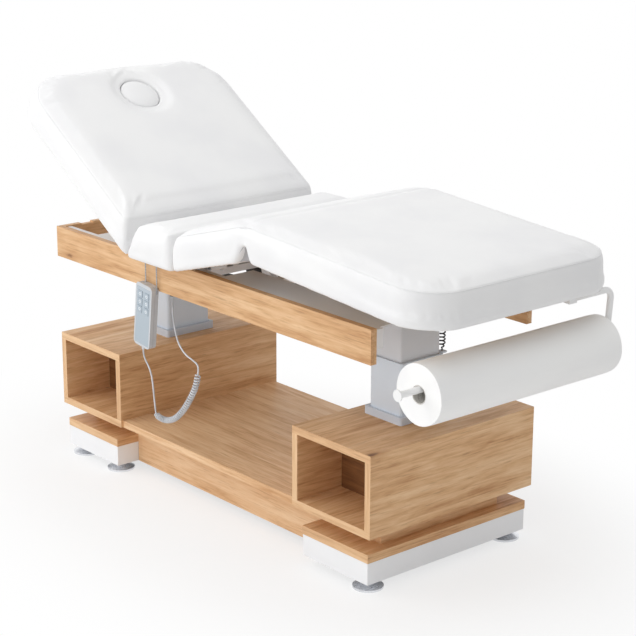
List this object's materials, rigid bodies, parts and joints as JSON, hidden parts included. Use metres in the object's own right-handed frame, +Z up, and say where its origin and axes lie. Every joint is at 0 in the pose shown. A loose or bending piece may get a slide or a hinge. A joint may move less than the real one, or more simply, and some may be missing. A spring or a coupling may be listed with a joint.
{
  "type": "spa treatment bed",
  "caption": "Electric spa bed with raised backrest and leg rest, on lifting columns over a wood cabinet base with open niches, paper roll holder and corded handset.",
  "frame": {"origin": "on the floor, under the middle of the bed's outline in plan", "axes": "+X from the head end toward the foot end, +Y away from the handset side, +Z up"},
  "size_m": [1.9016, 0.792, 1.2162],
  "materials": {
    "oak_board": "light oak laminate, satin",
    "oak_niche": "light oak laminate, satin",
    "deck_oak": "light oak laminate, satin",
    "plinth_white": "matte white",
    "foot_chrome": "polished",
    "column_metal": "satin painted",
    "inner_column_metal": "brushed satin",
    "cover_plastic": "matte light grey",
    "frame_steel": "white powder coat",
    "section_steel": "white powder coat",
    "pin_steel": "bright zinc",
    "ply_board": "raw plywood",
    "upholstery": "smooth white faux leather",
    "box_plastic": "matte dark grey",
    "actuator_plastic": "matte dark grey",
    "rod_steel": "bright",
    "holder_steel": "white powder coat",
    "paper": "crepe paper",
    "card": "pale grey card",
    "handset_plastic": "satin silver grey",
    "button_plastic": "matte blue grey",
    "cord_plastic": "light grey, satin",
    "cable_plastic": "dark grey, satin"
  },
  "bodies": {
    "base": {"head_cabinet_top_bottom": "oak_board", "head_cabinet_sides": "oak_board", "head_cabinet_niche_backs": "oak_niche", "foot_cabinet_top_bottom": "oak_board", "foot_cabinet_sides": "oak_board", "foot_cabinet_niche_backs": "oak_niche", "deck_board": "deck_oak", "deck_aprons": "oak_board", "risers": "oak_board", "plinth_boards": "oak_board", "plinth_blocks": "plinth_white", "column_outer_tubes": "column_metal", "column_covers": "cover_plastic"},
    "lift": {"column_inner_tubes": "inner_column_metal", "near_rail": "oak_board", "far_rail": "oak_board", "head_rail": "oak_board", "lift_frame": "frame_steel", "seat_board": "ply_board", "seat_cushion": "upholstery", "hinge_pins": "pin_steel", "control_box": "box_plastic", "handset_hanger": "pin_steel", "handset_cord_lead": "cord_plastic", "handset_cord_curls": "cord_plastic", "handset_cord_tail": "cord_plastic", "column_cable": "cable_plastic"},
    "back": {"back_board": "ply_board", "back_frame": "section_steel", "back_cushion": "upholstery"},
    "plug": {"face_plug": "upholstery"},
    "thigh": {"thigh_board": "ply_board", "thigh_frame": "section_steel", "thigh_cushion": "upholstery"},
    "leg": {"leg_board": "ply_board", "leg_frame": "section_steel", "leg_cushion": "upholstery", "roll_holder": "holder_steel"},
    "link": {"leg_link": "section_steel"},
    "roll": {"roll_core": "card", "paper_roll": "paper"},
    "back_housing": {"back_actuator_housing": "actuator_plastic"},
    "back_rod": {"back_actuator_rod": "rod_steel"},
    "leg_housing": {"leg_actuator_housing": "actuator_plastic"},
    "leg_rod": {"leg_actuator_rod": "rod_steel"},
    "handset": {"handset_case": "handset_plastic", "cord_relief": "cord_plastic"},
    "button_1": {"button_1": "button_plastic"},
    "button_2": {"button_2": "button_plastic"},
    "button_3": {"button_3": "button_plastic"},
    "button_4": {"button_4": "button_plastic"},
    "button_5": {"button_5": "button_plastic"},
    "button_6": {"button_6": "button_plastic"},
    "foot_1": {"levelling_foot_1": "foot_chrome"},
    "foot_2": {"levelling_foot_2": "foot_chrome"},
    "foot_3": {"levelling_foot_3": "foot_chrome"},
    "foot_4": {"levelling_foot_4": "foot_chrome"},
    "foot_5": {"levelling_foot_5": "foot_chrome"},
    "foot_6": {"levelling_foot_6": "foot_chrome"}
  },
  "joints": [
    {"name": "lift_slide", "type": "slide", "parent": "base", "child": "lift", "axis": [0, 0, 1], "range_m": [-0.1, 0.18], "deforming": ["column_cable"]},
    {"name": "foot_1_screw", "type": "slide", "parent": "base", "child": "foot_1", "axis": [0, 0, -1], "range_m": [0, 0.012]},
    {"name": "foot_2_screw", "type": "slide", "parent": "base", "child": "foot_2", "axis": [0, 0, -1], "range_m": [0, 0.012]},
    {"name": "foot_3_screw", "type": "slide", "parent": "base", "child": "foot_3", "axis": [0, 0, -1], "range_m": [0, 0.012]},
    {"name": "foot_4_screw", "type": "slide", "parent": "base", "child": "foot_4", "axis": [0, 0, -1], "range_m": [0, 0.012]},
    {"name": "foot_5_screw", "type": "slide", "parent": "base", "child": "foot_5", "axis": [0, 0, -1], "range_m": [0, 0.012]},
    {"name": "foot_6_screw", "type": "slide", "parent": "base", "child": "foot_6", "axis": [0, 0, -1], "range_m": [0, 0.012]},
    {"name": "back_hinge", "type": "hinge", "parent": "lift", "child": "back", "pos_m": [-0.35522, 0.009, 0.738], "axis": [0, 1, 0], "range_deg": [-33, 12]},
    {"name": "thigh_hinge", "type": "hinge", "parent": "lift", "child": "thigh", "pos_m": [-0.12522, 0.009, 0.738], "axis": [0, -1, 0], "range_deg": [-16, 8]},
    {"name": "knee_hinge", "type": "hinge", "parent": "thigh", "child": "leg", "pos_m": [0.21179, 0.009, 0.89997], "axis": [0, -1, 0], "range_deg": [-10.2, 20.3]},
    {"name": "link_hinge", "type": "hinge", "parent": "lift", "child": "link", "pos_m": [0.19028, 0.009, 0.6982], "axis": [0, -1, 0], "range_deg": [-27.3, 13.8]},
    {"name": "back_housing_hinge", "type": "hinge", "parent": "lift", "child": "back_housing", "pos_m": [0.03478, 0.069, 0.6], "axis": [0, 1, 0], "range_deg": [-3.4, 1.3]},
    {"name": "back_rod_slide", "type": "slide", "parent": "back_housing", "child": "back_rod", "axis": [-0.9839, 0, 0.1787], "range_m": [-0.0388, 0.0142]},
    {"name": "leg_housing_hinge", "type": "hinge", "parent": "lift", "child": "leg_housing", "pos_m": [-0.52022, -0.051, 0.62], "axis": [0, -1, 0], "range_deg": [-2.5, 1.3]},
    {"name": "leg_rod_slide", "type": "slide", "parent": "leg_housing", "child": "leg_rod", "axis": [0.9968, 0, 0.0797], "range_m": [-0.025, 0.0126]},
    {"name": "plug_slide", "type": "slide", "parent": "back", "child": "plug", "axis": [0.5446, 0, 0.8387], "range_m": [0, 0.12]},
    {"name": "roll_spin", "type": "hinge", "parent": "leg", "child": "roll", "pos_m": [0.86777, 0.009, 0.63031], "axis": [0, 1, 0], "continuous": true},
    {"name": "handset_pull_down", "type": "slide", "parent": "lift", "child": "handset", "axis": [0, 0, -1], "range_m": [0, 0.03], "deforming": ["handset_cord_lead"]},
    {"name": "button_1_press", "type": "slide", "parent": "handset", "child": "button_1", "axis": [0, 1, 0], "range_m": [0, 0.0012], "stiffness_N_per_m": 500, "springref_m": -0.0006},
    {"name": "button_2_press", "type": "slide", "parent": "handset", "child": "button_2", "axis": [0, 1, 0], "range_m": [0, 0.0012], "stiffness_N_per_m": 500, "springref_m": -0.0006},
    {"name": "button_3_press", "type": "slide", "parent": "handset", "child": "button_3", "axis": [0, 1, 0], "range_m": [0, 0.0012], "stiffness_N_per_m": 500, "springref_m": -0.0006},
    {"name": "button_4_press", "type": "slide", "parent": "handset", "child": "button_4", "axis": [0, 1, 0], "range_m": [0, 0.0012], "stiffness_N_per_m": 500, "springref_m": -0.0006},
    {"name": "button_5_press", "type": "slide", "parent": "handset", "child": "button_5", "axis": [0, 1, 0], "range_m": [0, 0.0012], "stiffness_N_per_m": 500, "springref_m": -0.0006},
    {"name": "button_6_press", "type": "slide", "parent": "handset", "child": "button_6", "axis": [0, 1, 0], "range_m": [0, 0.0012], "stiffness_N_per_m": 500, "springref_m": -0.0006}
  ],
  "couplings": [
    {"joint": "knee_hinge", "follows": "thigh_hinge", "ratio": -1.2563},
    {"joint": "link_hinge", "follows": "thigh_hinge", "ratio": 1.7},
    {"joint": "back_housing_hinge", "follows": "back_hinge", "ratio": 0.1},
    {"joint": "back_rod_slide", "follows": "back_hinge", "m_per_rad": 0.06704},
    {"joint": "leg_housing_hinge", "follows": "thigh_hinge", "ratio": 0.15},
    {"joint": "leg_rod_slide", "follows": "thigh_hinge", "m_per_rad": 0.08881}
  ]
}
